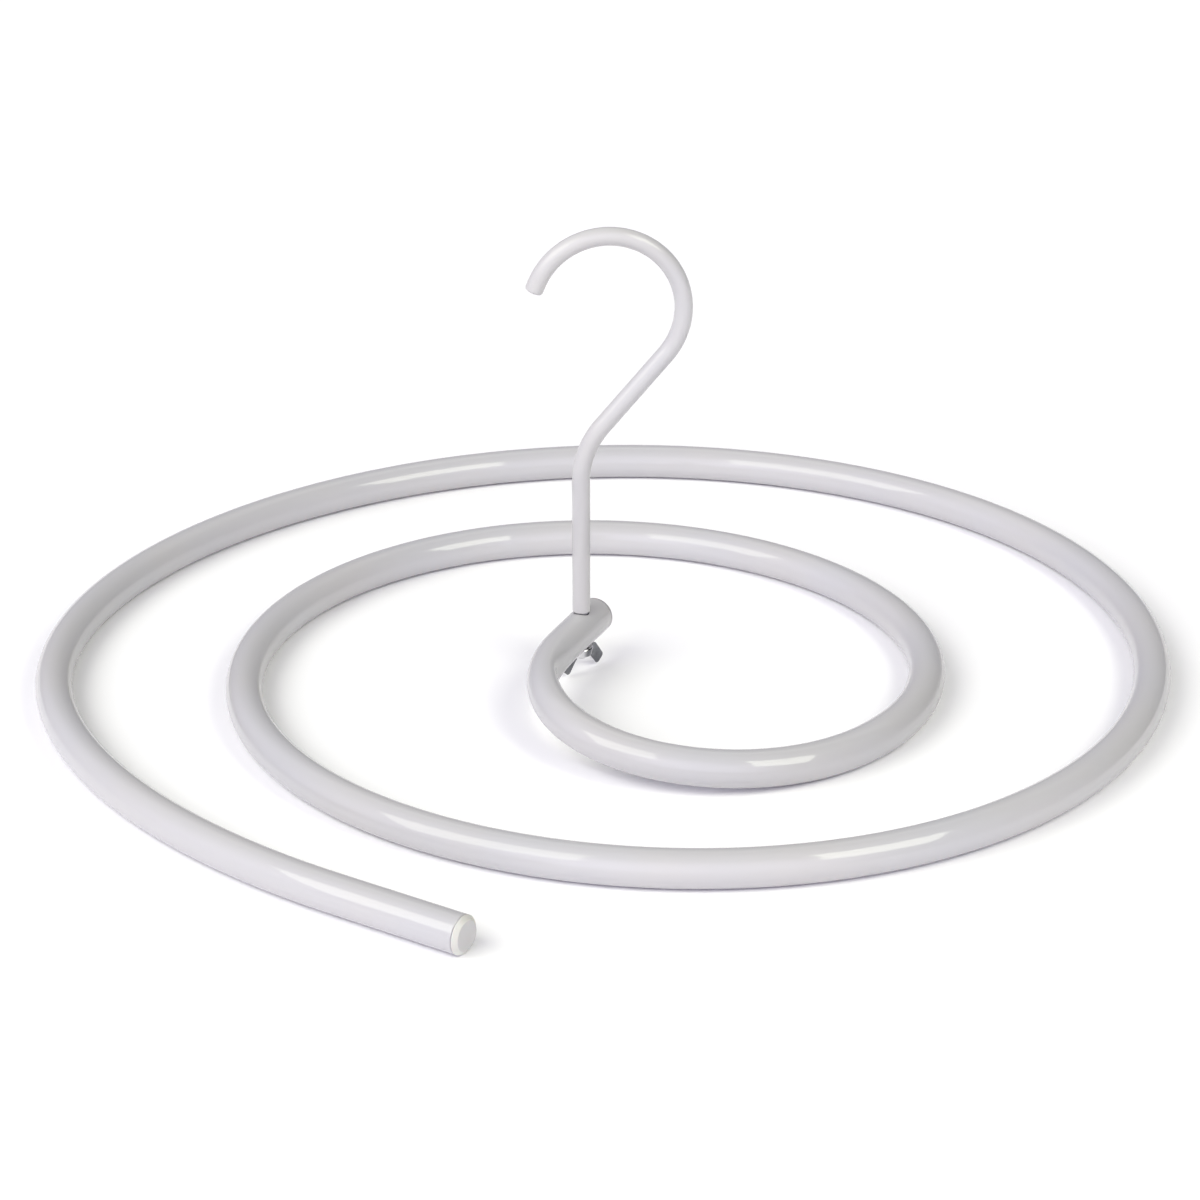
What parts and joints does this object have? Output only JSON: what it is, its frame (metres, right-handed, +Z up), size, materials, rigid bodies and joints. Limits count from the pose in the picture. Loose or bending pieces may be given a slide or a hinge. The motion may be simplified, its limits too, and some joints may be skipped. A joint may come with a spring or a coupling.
{
  "type": "spiral drying rack",
  "caption": "Spiral of bent hollow tube that sheets are wound on to dry, hung from a rod hook that a wing nut clamps to its raised inner end.",
  "frame": {"origin": "on the ground under the middle of the rack's outline", "axes": "+Z up along the hook's stem, -Y towards the tube's outer end, +X to the right of it"},
  "size_m": [0.4014, 0.4064, 0.1654],
  "materials": {
    "tube_coating": "gloss powder coat",
    "plug_plastic": "satin",
    "hook_coating": "gloss powder coat",
    "nut_steel": "bright zinc plate"
  },
  "bodies": {
    "root": {"spiral_tube": "tube_coating", "outer_end_plug": "plug_plastic", "inner_end_plug": "plug_plastic"},
    "hook": {"hook": "hook_coating"},
    "wing_nut": {"wing_nut": "nut_steel"}
  },
  "joints": [
    {"name": "hook_swivel", "type": "hinge", "parent": "root", "child": "hook", "pos_m": [-0.00844, 0.00868, 0.0231], "axis": [0, 0, 1], "continuous": true},
    {"name": "nut_turn", "type": "hinge", "parent": "hook", "child": "wing_nut", "pos_m": [-0.00844, 0.00868, 0.0098], "axis": [0, 0, -1], "range_deg": [0, 1530]}
  ]
}
